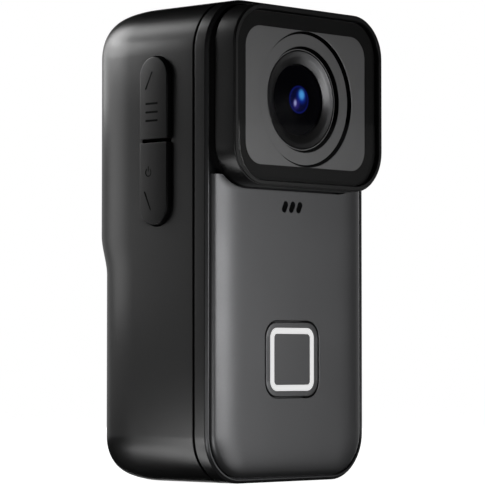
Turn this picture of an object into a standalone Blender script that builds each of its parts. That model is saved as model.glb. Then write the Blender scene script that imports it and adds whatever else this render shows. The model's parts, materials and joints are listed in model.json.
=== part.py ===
"""An upright pocket action camera: housing, lens module, keys, ports, display and what they hold.

The lens looks along -Y, the side keys are on -X, the port door is on +X and the display is on +Y.
The origin is on the ground under the middle of the camera. Lengths are in millimetres until an
object is made, where MM turns them into metres.
"""

import math

import bmesh
import bpy
from mathutils import Matrix, Vector

MM = 0.001

# Whole camera
WIDTH = 37.0
HEIGHT = 76.0
PANEL_Y = -11.5  # the flat front face of the front panel
BACK_UPPER = PANEL_Y + 27.0
BACK_LOWER = PANEL_Y + 25.7
STEP_LOW_Z = 33.0  # the back steps in between these two heights
STEP_HIGH_Z = 39.4
BODY_CORNER = 8.5
CROWN_DEEP = 9.0  # the sides, top and bottom curve in towards the back over this depth
CROWN_IN = 3.0
CROWN_POWER = 2.2  # 2 would make the crown an ellipse, more makes it fuller
CROWN_UPRIGHT = 0.7  # how far the top and bottom curve in, as a share of the sides
HOLLOW_ROUND = 2.6  # the same edge inside the housing
SHELL_SLICES = 6  # how many flat bands the crown and the step are cut into
WALL = 1.8
GAP = 0.3
TIGHT = 0.1  # clearance of inlays and bonded pieces
HALF = WIDTH / 2
INNER = HALF - WALL

# Front frame and panel
SEAM_Y = PANEL_Y + 3.85
SEAM_HALF = 0.2
FRAME_FRONT = PANEL_Y + 1.07
FRAME_CHAMFER = 0.4
FLOOR_FRONT = PANEL_Y + 2.1
FLOOR_BACK = PANEL_Y + 3.6
PANEL_HALF = 17.5
PANEL_BOTTOM = 0.9
PANEL_TOP = 48.2
PANEL_THICK = 1.4
PANEL_CORNER = 7.7
PANEL_ROUND = 0.9

# Lens module
LENS_Z = 60.7
BEZEL_SIZE = (35.0, 28.6)
BEZEL_CORNER = 6.75
BEZEL_FRONT = PANEL_Y - 4.0
BEZEL_BACK = PANEL_Y + 0.3
BEZEL_RIM = 0.87
BEZEL_LEDGE = PANEL_Y - 2.1
GLASS_SIZE = (33.0, 26.6)
GLASS_CORNER = 5.75
GLASS_FRONT = PANEL_Y - 3.75
GLASS_BACK = PANEL_Y - 3.2
WINDOW_SIZE = (28.07, 21.73)
WINDOW_CORNER = 3.4
SURROUND_FRONT = PANEL_Y - 3.1
RECESS_EDGE = 10.82  # radii of the round recess, from its mouth down to the lens ring
RECESS_FLOOR = 10.48
RECESS_STEP = 8.46
RECESS_FOOT = 8.1
RING_HOLE = 7.97
RING_OUT = 7.72
CONE_OUT = 6.85
CONE_IN = 5.8
LENS_RADIUS = 5.6
FLOOR_Y = PANEL_Y - 2.5
FOOT_Y = PANEL_Y - 1.86
LENS_LIP = PANEL_Y - 1.7

# Record button
BUTTON_Z = 19.42
BUTTON_SIZE = (12.2, 11.8)
BUTTON_CORNER = 2.5
RING_SIZE = (10.26, 10.0)
RING_BAND = 0.95
RING_CORNER = 1.6
RING_DEPTH = 0.6

# Microphone slots
SLOT_Z = 43.65
SLOT_PITCH = 1.68
SLOT_WIDTH = 0.95
SLOT_LENGTH = 1.95
SLOT_LEAN = math.radians(25)

# Side keys
KEY_Y = PANEL_Y + 11.95
KEY_WIDTH = 6.1
KEY_LOW = 40.5
KEY_HIGH = 67.1
KEY_SPLIT = 53.8
KEY_SPLIT_HALF = 0.3
KEY_PROUD = 1.0
KEY_CLEAR = 0.25

# Port bay, door and ports
BAY_Y = PANEL_Y + 17.0
DOOR_HALF_Y = 5.0
DOOR_LOW = 14.0
DOOR_HIGH = 40.0
DOOR_CORNER = 2.0
DOOR_OUT = HALF + 0.3
DOOR_IN = HALF - 1.7
HINGE_X = HALF - 0.75
HINGE_Y = BAY_Y + DOOR_HALF_Y - 1.05
PIN_RADIUS = 0.4
BAY_FLOOR = 12.6
BAY_BACK = 11.6
USB_Z = 20.5
USB_SIZE = (3.2, 9.0)
CARD_Z = 34.0
CARD_Y = PANEL_Y + 16.5
PORT_Y = PANEL_Y + 17.3

# Inside
BOARD_FRONT = PANEL_Y + 14.5
BOARD_THICK = 0.8
BOARD_X = (-15.3, 11.3)
BOSSES = ((-13.6, 5.4), (13.6, 5.4), (-13.6, 70.6), (13.6, 70.6))
DISPLAY_Z = (41.2, 69.0)
DISPLAY_HALF = 13.2

CORNER_STEPS = 7
ROUND_STEPS = 40

# Colours are linear RGB
HOUSING = ((0.045, 0.045, 0.047), 0.45, 0.2)
PANEL = ((0.07, 0.072, 0.075), 0.38, 0.6)
BLACK = ((0.012, 0.012, 0.013), 0.4, 0.0)
BEZEL = ((0.025, 0.025, 0.026), 0.35, 0.1)
GLASS = ((0.02, 0.022, 0.025), 0.03, 0.0)
PLATE = ((0.085, 0.085, 0.085), 0.5, 0.3)
LENS = ((0.004, 0.004, 0.006), 0.03, 0.0)
RUBBER = ((0.015, 0.015, 0.015), 0.75, 0.0)
WHITE = ((0.8, 0.8, 0.8), 0.35, 0.0)
STEEL = ((0.55, 0.55, 0.56), 0.3, 1.0)
GOLD = ((0.75, 0.55, 0.2), 0.35, 1.0)
GREEN = ((0.01, 0.09, 0.04), 0.5, 0.0)
CHIP = ((0.02, 0.02, 0.022), 0.55, 0.0)
FOIL = ((0.45, 0.46, 0.48), 0.4, 0.9)

parts = None
cutters = None


def start_scene():
    """Empty the scene and make one collection for the camera and one for its cutters."""
    global parts, cutters
    for obj in list(bpy.data.objects):
        bpy.data.objects.remove(obj, do_unlink=True)
    parts = bpy.data.collections.new("action_camera")
    cutters = bpy.data.collections.new("cutters")
    bpy.context.scene.collection.children.link(parts)
    bpy.context.scene.collection.children.link(cutters)


def finish_look(obj, look):
    """Give an object its own material; an object with no look is a cutter."""
    if look is None:
        cutters.objects.link(obj)
        obj.hide_render = True
        obj.display_type = "WIRE"
        return
    parts.objects.link(obj)
    colour, roughness, metallic = look
    material = bpy.data.materials.new(obj.name)
    material.use_nodes = True
    shader = material.node_tree.nodes["Principled BSDF"]
    shader.inputs["Base Color"].default_value = (*colour, 1.0)
    shader.inputs["Roughness"].default_value = roughness
    shader.inputs["Metallic"].default_value = metallic
    obj.data.materials.append(material)


def object_from(bm, name, look, pivot=(0, 0, 0), smooth=True):
    """Turn a mesh drawn in millimetres into an object in metres whose origin is at the pivot."""
    bmesh.ops.recalc_face_normals(bm, faces=bm.faces)
    bmesh.ops.transform(
        bm,
        matrix=Matrix.Scale(MM, 4) @ Matrix.Translation(-Vector(pivot)),
        verts=bm.verts,
    )
    mesh = bpy.data.meshes.new(name)
    bm.to_mesh(mesh)
    bm.free()
    if smooth:
        mesh.shade_smooth()
        mesh.set_sharp_from_angle(angle=math.radians(35))
    obj = bpy.data.objects.new(name, mesh)
    obj.location = Vector(pivot) * MM
    finish_look(obj, look)
    return obj


def edges_along(bm, axis):
    """The edges parallel to one axis."""
    found = []
    for edge in bm.edges:
        run = edge.verts[0].co - edge.verts[1].co
        if abs(run[axis]) > 1e-6 and run.length - abs(run[axis]) < 1e-6:
            found.append(edge)
    return found


def edges_at(bm, axis, place):
    """The edges that lie in the plane where the axis has this value."""
    return [e for e in bm.edges if all(abs(v.co[axis] - place) < 1e-6 for v in e.verts)]


def rounded_mesh(low, high, axis, corner, rims, steps=CORNER_STEPS, rim_steps=2, before_y=None):
    """A box from low to high with rounded edges along one axis, and rounded rims at its two ends.

    With before_y, only the edges in front of that y are rounded.
    """
    bm = bmesh.new()
    bmesh.ops.create_cube(bm, size=1.0)
    size = Vector(high) - Vector(low)
    middle = (Vector(high) + Vector(low)) / 2
    bmesh.ops.transform(
        bm, matrix=Matrix.Translation(middle) @ Matrix.Diagonal((*size, 1.0)), verts=bm.verts
    )
    if corner:
        edges = edges_along(bm, axis)
        if before_y is not None:
            edges = [e for e in edges if e.verts[0].co.y < before_y]
        bmesh.ops.bevel(
            bm,
            geom=edges,
            offset=corner,
            offset_type="OFFSET",
            segments=steps,
            profile=0.5,
            affect="EDGES",
        )
    for place, rim in ((low[axis], rims[0]), (high[axis], rims[1])):
        if rim:
            bmesh.ops.bevel(
                bm,
                geom=edges_at(bm, axis, place),
                offset=rim,
                offset_type="OFFSET",
                segments=rim_steps,
                profile=0.5,
                affect="EDGES",
            )
    return bm


def rounded(name, look, low, high, axis="y", corner=0.0, rims=(0.0, 0.0), steps=CORNER_STEPS, **more):
    """An object made of a rounded box."""
    pivot = more.pop("pivot", (0, 0, 0))
    bm = rounded_mesh(low, high, "xyz".index(axis), corner, rims, steps, **more)
    return object_from(bm, name, look, pivot)


def centred(name, look, size, y0, y1, middle, corner, rims=(0.0, 0.0), **more):
    """A rounded plate facing the front, with its width and height centred on a point (x, z)."""
    x, z = middle
    low = (x - size[0] / 2, y0, z - size[1] / 2)
    high = (x + size[0] / 2, y1, z + size[1] / 2)
    return rounded(name, look, low, high, "y", corner, rims, **more)


def turned(name, look, profile, middle=(0.0, LENS_Z), closed=False, steps=ROUND_STEPS):
    """A profile of (radius, y) points, drawn from front to back down its outer side, turned round
    the Y axis through the middle (x, z)."""
    mesh = bpy.data.meshes.new(name)
    points = [(r * MM, 0.0, -y * MM) for r, y in profile]
    edges = [(i, i + 1) for i in range(len(points) - 1)]
    if closed:
        edges.append((len(points) - 1, 0))
    mesh.from_pydata(points, edges, [])
    obj = bpy.data.objects.new(name, mesh)
    obj.location = (middle[0] * MM, 0.0, middle[1] * MM)
    obj.rotation_euler = (math.pi / 2, 0.0, 0.0)
    finish_look(obj, look)
    screw = obj.modifiers.new("turn", "SCREW")
    screw.steps = steps
    screw.render_steps = steps
    screw.use_merge_vertices = True
    screw.merge_threshold = 0.000001
    screw.use_smooth_shade = True
    return obj


def pegged(name, look, radius, start, end, steps=16):
    """A round peg between two points, drawn in millimetres."""
    bm = bmesh.new()
    run = Vector(end) - Vector(start)
    bmesh.ops.create_cone(
        bm,
        cap_ends=True,
        segments=steps,
        radius1=radius,
        radius2=radius,
        depth=run.length,
        matrix=Matrix.Translation((Vector(start) + Vector(end)) / 2)
        @ run.to_track_quat("Z", "Y").to_matrix().to_4x4(),
    )
    return object_from(bm, name, look)


def boolean(target, tool, operation):
    """Cut or join a target with a tool, which stays hidden among the cutters."""
    modifier = target.modifiers.new(tool.name, "BOOLEAN")
    modifier.operation = operation
    modifier.object = tool
    return target


def cut(target, *tools):
    for tool in tools:
        boolean(target, tool, "DIFFERENCE")
    return target


def join(target, *tools):
    for tool in tools:
        boolean(target, tool, "UNION")
    return target


def back_at(z):
    """How far back the housing reaches at a height: a smooth step between its two depths."""
    t = min(1.0, max(0.0, (z - STEP_LOW_Z) / (STEP_HIGH_Z - STEP_LOW_Z)))
    return BACK_LOWER + (BACK_UPPER - BACK_LOWER) * t * t * (3 - 2 * t)


def slice_mesh(bm, place, normal):
    """Add a loop of edges where a plane crosses the mesh."""
    everything = bm.verts[:] + bm.edges[:] + bm.faces[:]
    bmesh.ops.bisect_plane(bm, geom=everything, plane_co=place, plane_no=normal)


def crown_in(y, back):
    """How far the outer sides are drawn in at a depth: nothing at first, CROWN_IN at the back."""
    along = min(1.0, max(0.0, 1 - (back - y) / CROWN_DEEP))
    return CROWN_IN * (1 - (1 - along**CROWN_POWER) ** (1 / CROWN_POWER))


def housing_form(name, look, inset, front):
    """The housing's crowned outer form or, with an inset, the plainer form of its hollow."""
    low = (-HALF + inset, front, inset)
    high = (HALF - inset, BACK_UPPER - inset, HEIGHT - inset)
    rim = HOLLOW_ROUND if inset else 0.0
    bm = rounded_mesh(low, high, 1, BODY_CORNER - inset, (0.0, rim), rim_steps=4)
    for i in range(SHELL_SLICES + 1):
        z = STEP_LOW_Z + (STEP_HIGH_Z - STEP_LOW_Z) * i / SHELL_SLICES
        slice_mesh(bm, (0, 0, z), (0, 0, 1))
    if not inset:
        for i in range(SHELL_SLICES):
            y = BACK_UPPER - CROWN_DEEP * (1 - math.sin(math.pi / 2 * i / SHELL_SLICES))
            slice_mesh(bm, (0, y, 0), (0, 1, 0))
        for vert in bm.verts:
            drawn_in = crown_in(vert.co.y, BACK_UPPER)
            vert.co.x *= 1 - drawn_in / HALF
            vert.co.z -= (vert.co.z - HEIGHT / 2) * CROWN_UPRIGHT * drawn_in / (HEIGHT / 2)
    for vert in bm.verts:
        share = (vert.co.y - front) / (high[1] - front)
        vert.co.y += share * (back_at(vert.co.z) - BACK_UPPER)
    return object_from(bm, name, look)


def slanted_slot(name, middle, axis, low, high):
    """A cutter for one leaning slot with round ends, on the front (axis y) or a side (axis x)."""
    a = 0 if axis == "y" else 1
    first = [0.0, 0.0, -SLOT_LENGTH / 2]
    last = [0.0, 0.0, SLOT_LENGTH / 2]
    first[a], last[a] = -SLOT_WIDTH / 2, SLOT_WIDTH / 2
    b = 1 - a
    first[b], last[b] = low, high
    bm = rounded_mesh(first, last, b, SLOT_WIDTH / 2 * 0.98, (0.0, 0.0), steps=4)
    lean = Matrix.Rotation(SLOT_LEAN, 4, "Y" if axis == "y" else "X")
    place = [0.0, 0.0, middle[1]]
    place[a] = middle[0]
    bmesh.ops.transform(bm, matrix=Matrix.Translation(place) @ lean, verts=bm.verts)
    return object_from(bm, name, None)


def main_housing():
    """The deep rear shell: open at the front, with holes for the keys, bay, display and speaker."""
    shell = housing_form("main_housing", HOUSING, 0.0, SEAM_Y + SEAM_HALF)
    cut(shell, housing_form("housing_hollow", None, WALL, SEAM_Y - 2.0))
    for i, (x, z) in enumerate(BOSSES):
        start, end = (x, SEAM_Y + 1.0, z), (x, SEAM_Y + 8.0, z)
        join(shell, pegged(f"boss_{i}", None, 2.4, start, end))
        cut(shell, pegged(f"boss_hole_{i}", None, 0.75, (x, SEAM_Y, z), (x, SEAM_Y + 7.0, z)))
    side = KEY_WIDTH / 2 + KEY_CLEAR
    low = (-HALF - 1, KEY_Y - side, KEY_LOW - KEY_CLEAR)
    high = (-INNER + 1, KEY_Y + side, KEY_HIGH + KEY_CLEAR)
    cut(shell, rounded("key_hole", None, low, high, "x", side * 0.95))
    low = (INNER - 1, BAY_Y - DOOR_HALF_Y - GAP, DOOR_LOW - GAP)
    high = (HALF + 1, BAY_Y + DOOR_HALF_Y + GAP, DOOR_HIGH + GAP)
    cut(shell, rounded("door_hole", None, low, high, "x", DOOR_CORNER + GAP, steps=4, before_y=BAY_Y))
    start = (HINGE_X, HINGE_Y, DOOR_LOW - 1.6)
    end = (HINGE_X, HINGE_Y, DOOR_HIGH + 1.6)
    cut(shell, pegged("pin_hole", None, PIN_RADIUS + 0.1, start, end))
    low = (-DISPLAY_HALF - GAP, BACK_UPPER - 4, DISPLAY_Z[0] - GAP)
    high = (DISPLAY_HALF + GAP, BACK_UPPER + 1, DISPLAY_Z[1] + GAP)
    cut(shell, rounded("display_hole", None, low, high, "y", 3.0 + GAP, steps=4))
    start, end = (0, BACK_UPPER - 4, 70.8), (0, BACK_UPPER + 1, 70.8)
    cut(shell, pegged("led_hole", None, 0.75, start, end))
    for i in range(3):
        middle = (BAY_Y + (i - 1) * SLOT_PITCH, 58.0)
        cut(shell, slanted_slot(f"speaker_slot_{i}", middle, "x", INNER - 1, HALF + 1))
    return shell


def front_frame():
    """The shallow front shell, which carries the panel, the bezel and the record button."""
    low = (-HALF, FRAME_FRONT, 0.0)
    high = (HALF, SEAM_Y - SEAM_HALF, HEIGHT)
    rims = (FRAME_CHAMFER, 0.0)
    frame = rounded("front_frame", HOUSING, low, high, "y", BODY_CORNER, rims, rim_steps=1)
    side = PANEL_HALF + 0.25
    low = (-side, FRAME_FRONT - 1, PANEL_BOTTOM - 0.25)
    high = (side, FLOOR_FRONT, HEIGHT - PANEL_BOTTOM + 0.25)
    cut(frame, rounded("panel_pocket", None, low, high, "y", PANEL_CORNER + 0.25))
    button = (BUTTON_SIZE[0] + 2.6, BUTTON_SIZE[1] + 2.6)
    span = (FRAME_FRONT - 1, SEAM_Y + 2)
    cut(frame, centred("button_hole", None, button, *span, (0, BUTTON_Z), 3.2, steps=4))
    cut(frame, centred("lens_hole", None, (22.0, 20.0), *span, (0, LENS_Z), 5.0, steps=4))
    cut(frame, centred("sound_hole", None, (4.8, 1.6), *span, (0, SLOT_Z), 0.7, steps=3))
    for i, (x, z) in enumerate(BOSSES):
        cut(frame, pegged(f"screw_hole_{i}", None, 0.75, (x, span[0], z), (x, span[1], z)))
        sink = (x, FLOOR_FRONT + 0.85, z)
        cut(frame, pegged(f"screw_sink_{i}", None, 1.5, (x, span[0], z), sink))
    return frame


def front_panel():
    """The face plate under the lens, with its edge rounded over and its top cut round the bezel."""
    low = (-PANEL_HALF, PANEL_Y, PANEL_BOTTOM)
    high = (PANEL_HALF, PANEL_Y + PANEL_THICK, LENS_Z)
    rims = (PANEL_ROUND, 0.0)
    panel = rounded("front_panel", PANEL, low, high, "y", PANEL_CORNER, rims, rim_steps=3)
    low = (-HALF - 1, PANEL_Y - 2, PANEL_TOP)
    cut(panel, rounded("panel_trim", None, low, (HALF + 1, PANEL_Y + 4, LENS_Z + 4)))
    size = (BEZEL_SIZE[0] + 2 * GAP, BEZEL_SIZE[1] + 2 * GAP)
    span = (PANEL_Y - 2, PANEL_Y + 4)
    cut(panel, centred("bezel_notch", None, size, *span, (0, LENS_Z), BEZEL_CORNER + GAP))
    size = (BUTTON_SIZE[0] + 2 * GAP, BUTTON_SIZE[1] + 2 * GAP)
    corner = BUTTON_CORNER + GAP
    cut(panel, centred("cap_hole", None, size, *span, (0, BUTTON_Z), corner, steps=4))
    for i in range(3):
        middle = ((i - 1) * SLOT_PITCH, SLOT_Z)
        cut(panel, slanted_slot(f"sound_slot_{i}", middle, "y", PANEL_Y - 2, PANEL_Y + 4))
    return panel


def ring_plate(name, look, size, hole, y0, y1, middle, corner, hole_corner, **more):
    """A flat rounded frame with a rounded opening."""
    ring = centred(name, look, size, y0, y1, middle, corner, **more)
    cutter = centred(f"{name}_hole", None, hole, y0 - 1, y1 + 1, middle, hole_corner, **more)
    return cut(ring, cutter)


def case_seal():
    """The rubber ring in the seam between the front frame and the housing."""
    size = (WIDTH - 1.4, HEIGHT - 1.4)
    hole = (WIDTH - 2.8, HEIGHT - 2.8)
    span = (SEAM_Y - 0.12, SEAM_Y + 0.12)
    middle = (0, HEIGHT / 2)
    return ring_plate(
        "case_seal", RUBBER, size, hole, *span, middle, BODY_CORNER - 0.7, BODY_CORNER - 1.4
    )


def lens_bezel():
    """The proud rectangular surround that holds the cover glass on an inner ledge."""
    middle = (0, LENS_Z)
    front = (0.25, 0.2)
    bezel = centred(
        "lens_bezel", BEZEL, BEZEL_SIZE, BEZEL_FRONT, BEZEL_BACK, middle, BEZEL_CORNER, front
    )
    pocket = tuple(s - 2 * BEZEL_RIM for s in BEZEL_SIZE)
    corner = BEZEL_CORNER - BEZEL_RIM
    span = (BEZEL_FRONT - 1, BEZEL_LEDGE)
    cut(bezel, centred("glass_pocket", None, pocket, *span, middle, corner))
    through = tuple(s + 0.6 for s in WINDOW_SIZE)
    span = (BEZEL_LEDGE - 1, BEZEL_BACK + 1)
    cut(bezel, centred("bezel_opening", None, through, *span, middle, WINDOW_CORNER + 0.3))
    rear = tuple(s + 3.6 for s in WINDOW_SIZE)
    span = (PANEL_Y - 1.0, BEZEL_BACK + 1)
    cut(bezel, centred("flange_pocket", None, rear, *span, middle, WINDOW_CORNER + 1))
    return bezel


def bezel_gasket():
    """The dark ring that the bezel stands on."""
    size = tuple(s - 1.2 for s in BEZEL_SIZE)
    hole = tuple(s - 5.0 for s in BEZEL_SIZE)
    span = (BEZEL_BACK + 0.2, FLOOR_FRONT - 0.2)
    return ring_plate("bezel_gasket", RUBBER, size, hole, *span, (0, LENS_Z), 6.1, 4.2)


def cover_glass():
    """The clear window over the lens."""
    span = (GLASS_FRONT, GLASS_BACK)
    return centred("cover_glass", GLASS, GLASS_SIZE, *span, (0, LENS_Z), GLASS_CORNER)


def mask_frame():
    """The black border behind the cover glass."""
    hole = tuple(s + 0.2 for s in WINDOW_SIZE)
    span = (SURROUND_FRONT, BEZEL_LEDGE - 0.2)
    return ring_plate(
        "mask_frame", BLACK, GLASS_SIZE, hole, *span, (0, LENS_Z), GLASS_CORNER, WINDOW_CORNER
    )


def lens_surround():
    """The grey plate round the lens, with two round steps going down to the lens ring."""
    middle = (0, LENS_Z)
    span = (SURROUND_FRONT, PANEL_Y - 0.2)
    plate = centred("lens_surround", PLATE, WINDOW_SIZE, *span, middle, WINDOW_CORNER)
    size = tuple(s + 3.0 for s in WINDOW_SIZE)
    span = (PANEL_Y - 0.7, PANEL_Y + 0.1)
    join(plate, centred("surround_flange", None, size, *span, middle, WINDOW_CORNER + 0.8))
    steps = [
        (0.0, SURROUND_FRONT - 1.0),
        (RECESS_EDGE + 0.1, SURROUND_FRONT - 1.0),
        (RECESS_EDGE, SURROUND_FRONT),
        (RECESS_FLOOR, FLOOR_Y),
        (RECESS_STEP, FLOOR_Y),
        (RECESS_FOOT, FOOT_Y),
        (RING_HOLE, FOOT_Y),
        (RING_HOLE, PANEL_Y + 1.0),
        (0.0, PANEL_Y + 1.0),
    ]
    return cut(plate, turned("surround_steps", None, steps, steps=56))


def lens_ring():
    """The retaining ring at the front of the lens, with a shallow cone inside its lip."""
    profile = [
        (CONE_OUT, LENS_LIP),
        (RING_OUT, FOOT_Y + 0.05),
        (RING_OUT, PANEL_Y + 1.2),
        (LENS_RADIUS - 0.6, PANEL_Y + 1.2),
        (LENS_RADIUS - 0.6, PANEL_Y - 0.1),
        (CONE_IN, PANEL_Y - 0.1),
        (CONE_IN, PANEL_Y - 1.38),
    ]
    return turned("lens_ring", BEZEL, profile, closed=True, steps=48)


def dome(radius, edge_y, apex_y, points):
    """Profile points of a round dome, from its apex out to its edge."""
    found = []
    for i in range(points + 1):
        share = i / points
        found.append((radius * share, apex_y + (edge_y - apex_y) * share * share))
    return found


def front_element():
    """The domed outer lens."""
    back = PANEL_Y - 0.35
    profile = dome(LENS_RADIUS, PANEL_Y - 0.95, PANEL_Y - 2.1, 6)
    profile += [(LENS_RADIUS, back), (3.2, back), (1.6, back - 0.35), (0.0, back - 0.45)]
    return turned("front_element", LENS, profile)


def lens_barrel():
    """The stepped tube that holds the inner lenses."""
    profile = [
        (6.2, PANEL_Y + 1.5),
        (6.2, PANEL_Y + 9.2),
        (3.4, PANEL_Y + 9.2),
        (3.4, PANEL_Y + 5.6),
        (4.4, PANEL_Y + 5.0),
        (4.4, PANEL_Y + 1.5),
    ]
    return turned("lens_barrel", BLACK, profile, closed=True, steps=32)


def inner_lens(name, radius, front, thick):
    """One biconvex lens inside the barrel."""
    bow = 0.35
    back = front + thick
    profile = dome(radius, front, front - bow, 3)
    profile += reversed(dome(radius, back, back + bow, 3))
    return turned(name, GLASS, profile, steps=24)


def lens_holder():
    """The square mount that carries the barrel over the sensor."""
    middle = (0, LENS_Z)
    span = (PANEL_Y + 8.0, PANEL_Y + 10.9)
    holder = centred("lens_holder", BLACK, (18.0, 18.0), *span, middle, 2.0, steps=3)
    ends = (0, PANEL_Y + 3.9, LENS_Z), (0, PANEL_Y + 9.3, LENS_Z)
    join(holder, pegged("holder_tube", None, 7.5, *ends, steps=32))
    ends = (0, PANEL_Y + 2.0, LENS_Z), (0, PANEL_Y + 9.6, LENS_Z)
    cut(holder, pegged("holder_bore", None, 6.5, *ends, steps=32))
    span = (PANEL_Y + 9.0, PANEL_Y + 12.0)
    cut(holder, centred("holder_window", None, (10.5, 10.5), *span, middle, 0.0))
    for i, (x, z) in enumerate(lens_screw_places()):
        ends = (x, PANEL_Y + 8.6, z), (x, PANEL_Y + 12.0, z)
        cut(holder, pegged(f"holder_screw_hole_{i}", None, 0.7, *ends, steps=10))
    return holder


def lens_screw_places():
    """The two opposite corners where the sensor board is screwed to the lens holder."""
    return ((-7.4, LENS_Z + 7.4), (7.4, LENS_Z - 7.4))


def sensor_parts():
    """The filter, the image sensor and the board under the lens."""
    middle = (0, LENS_Z)
    span = (PANEL_Y + 9.8, PANEL_Y + 10.2)
    centred("infrared_filter", GLASS, (8.0, 7.0), *span, middle, 0.0)
    span = (PANEL_Y + 10.4, PANEL_Y + 11.1)
    centred("image_sensor", CHIP, (9.2, 8.2), *span, middle, 0.0)
    span = (PANEL_Y + 11.3, PANEL_Y + 12.1)
    board = centred("sensor_board", GREEN, (21.0, 19.5), *span, middle, 1.0, steps=2)
    for i, (x, z) in enumerate(lens_screw_places()):
        ends = (x, PANEL_Y + 11.0, z), (x, PANEL_Y + 13.0, z)
        cut(board, pegged(f"sensor_board_hole_{i}", None, 0.9, *ends, steps=10))


def screw(name, x, z, head_y, length, head=1.3, shank=0.55, backwards=True):
    """A small pan-head screw along Y, with its head at head_y and its shank going away from it."""
    way = 1 if backwards else -1
    profile = [
        (0.0, head_y),
        (head, head_y + way * 0.15),
        (head, head_y + way * 0.7),
        (shank, head_y + way * 0.7),
        (shank, head_y + way * length),
        (0.0, head_y + way * length),
    ]
    if not backwards:
        profile.reverse()
    return turned(name, STEEL, profile, (x, z), steps=10)


def screws():
    """Case screws through the frame into the housing, lens screws and board screws."""
    for i, (x, z) in enumerate(BOSSES):
        screw(f"case_screw_{i + 1}", x, z, FLOOR_FRONT + 0.05, 7.2)
    for i, (x, z) in enumerate(lens_screw_places()):
        screw(f"lens_screw_{i + 1}", x, z, PANEL_Y + 13.0, 3.6, 1.2, 0.5, backwards=False)
    for i, z in enumerate((12.5, 66.5)):
        screw(f"board_screw_{i + 1}", -7.0, z, BOARD_FRONT + 1.9, 2.7, 1.3, 0.5, backwards=False)


def record_button():
    """The square button cap, with a flange behind the panel, a stem and a groove for its ring."""
    middle = (0, BUTTON_Z)
    span = (PANEL_Y, PANEL_Y + 2.4)
    rims = (0.15, 0.0)
    pivot = (0.0, PANEL_Y, BUTTON_Z)
    cap = centred(
        "record_button", PANEL, BUTTON_SIZE, *span, middle, BUTTON_CORNER, rims, steps=4, pivot=pivot
    )
    flange = tuple(s + 1.8 for s in BUTTON_SIZE)
    span = (PANEL_Y + 1.75, PANEL_Y + 2.45)
    join(cap, centred("button_flange", None, flange, *span, middle, BUTTON_CORNER, steps=4))
    ends = (0, PANEL_Y + 2.0, BUTTON_Z), (0, PANEL_Y + 3.4, BUTTON_Z)
    join(cap, pegged("button_stem", None, 1.3, *ends, steps=12))
    size = tuple(s + 2 * TIGHT for s in RING_SIZE)
    hole = tuple(s - 2 * RING_BAND - 2 * TIGHT for s in RING_SIZE)
    span = (PANEL_Y - 1.0, PANEL_Y + RING_DEPTH + TIGHT)
    outer = centred("groove_outer", None, size, *span, middle, RING_CORNER + TIGHT, steps=4)
    corner = max(0.3, RING_CORNER - RING_BAND - TIGHT)
    span = (PANEL_Y - 2.0, PANEL_Y + 3.0)
    inner = centred("groove_inner", None, hole, *span, middle, corner, steps=4)
    return cut(cap, cut(outer, inner))


def button_ring():
    """The white ring set into the button."""
    hole = tuple(s - 2 * RING_BAND for s in RING_SIZE)
    span = (PANEL_Y, PANEL_Y + RING_DEPTH)
    corner = RING_CORNER - RING_BAND
    return ring_plate(
        "button_ring", WHITE, RING_SIZE, hole, *span, (0, BUTTON_Z), RING_CORNER, corner, steps=4
    )


def button_parts():
    """The membrane, switch and small board behind the record button."""
    middle = (0, BUTTON_Z)
    span = (PANEL_Y + 3.95, PANEL_Y + 4.35)
    centred("button_membrane", RUBBER, (18.0, 17.6), *span, middle, 2.0, steps=3)
    switch = centred(
        "record_switch", STEEL, (4.5, 4.5), PANEL_Y + 4.9, PANEL_Y + 6.0, middle, 0.4, steps=1
    )
    ends = (0, PANEL_Y + 4.55, BUTTON_Z), (0, PANEL_Y + 5.4, BUTTON_Z)
    join(switch, pegged("switch_dome", None, 1.1, *ends, steps=12))
    span = (PANEL_Y + 6.2, PANEL_Y + 6.8)
    centred("button_board", GREEN, (13.0, 10.0), *span, middle, 0.6, steps=1)


def side_key(name, keep_upper):
    """One half of the capsule of side keys, with a flange behind the housing wall."""
    half = KEY_WIDTH / 2
    low = (-HALF - KEY_PROUD, KEY_Y - half, KEY_LOW)
    high = (-INNER + 0.8, KEY_Y + half, KEY_HIGH)
    middle_z = (KEY_SPLIT + (KEY_HIGH if keep_upper else KEY_LOW)) / 2
    pivot = (-HALF, KEY_Y, middle_z)
    rims = (0.35, 0.0)
    key = rounded(name, BEZEL, low, high, "x", half * 0.95, rims, pivot=pivot)
    low = (-INNER + GAP, KEY_Y - half - 0.7, KEY_LOW - 0.7)
    high = (-INNER + 0.85, KEY_Y + half + 0.7, KEY_HIGH + 0.7)
    join(key, rounded(f"{name}_flange", None, low, high, "x", half * 0.95 + 0.7, steps=5))
    if keep_upper:
        span = (KEY_LOW - 3, KEY_SPLIT + KEY_SPLIT_HALF)
    else:
        span = (KEY_SPLIT - KEY_SPLIT_HALF, KEY_HIGH + 3)
    low = (-HALF - 3, KEY_Y - 6, span[0])
    return cut(key, rounded(f"{name}_trim", None, low, (-INNER + 3, KEY_Y + 6, span[1])))


def key_parts():
    """The switches behind the side keys and the board that carries them."""
    for name, z in (("upper_key_switch", 60.5), ("lower_key_switch", 47.1)):
        low = (-INNER + 1.7, KEY_Y - 1.9, z - 1.9)
        switch = rounded(name, STEEL, low, (-INNER + 2.6, KEY_Y + 1.9, z + 1.9), "x", 0.4, steps=1)
        ends = (-INNER + 1.4, KEY_Y, z), (-INNER + 2.2, KEY_Y, z)
        join(switch, pegged(f"{name}_dome", None, 1.0, *ends, steps=12))
    low = (-INNER + 2.8, PANEL_Y + 8.8, 42.0)
    rounded("key_board", GREEN, low, (-INNER + 3.4, PANEL_Y + 14.1, 65.5), "x", 0.8, steps=2)


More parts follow.
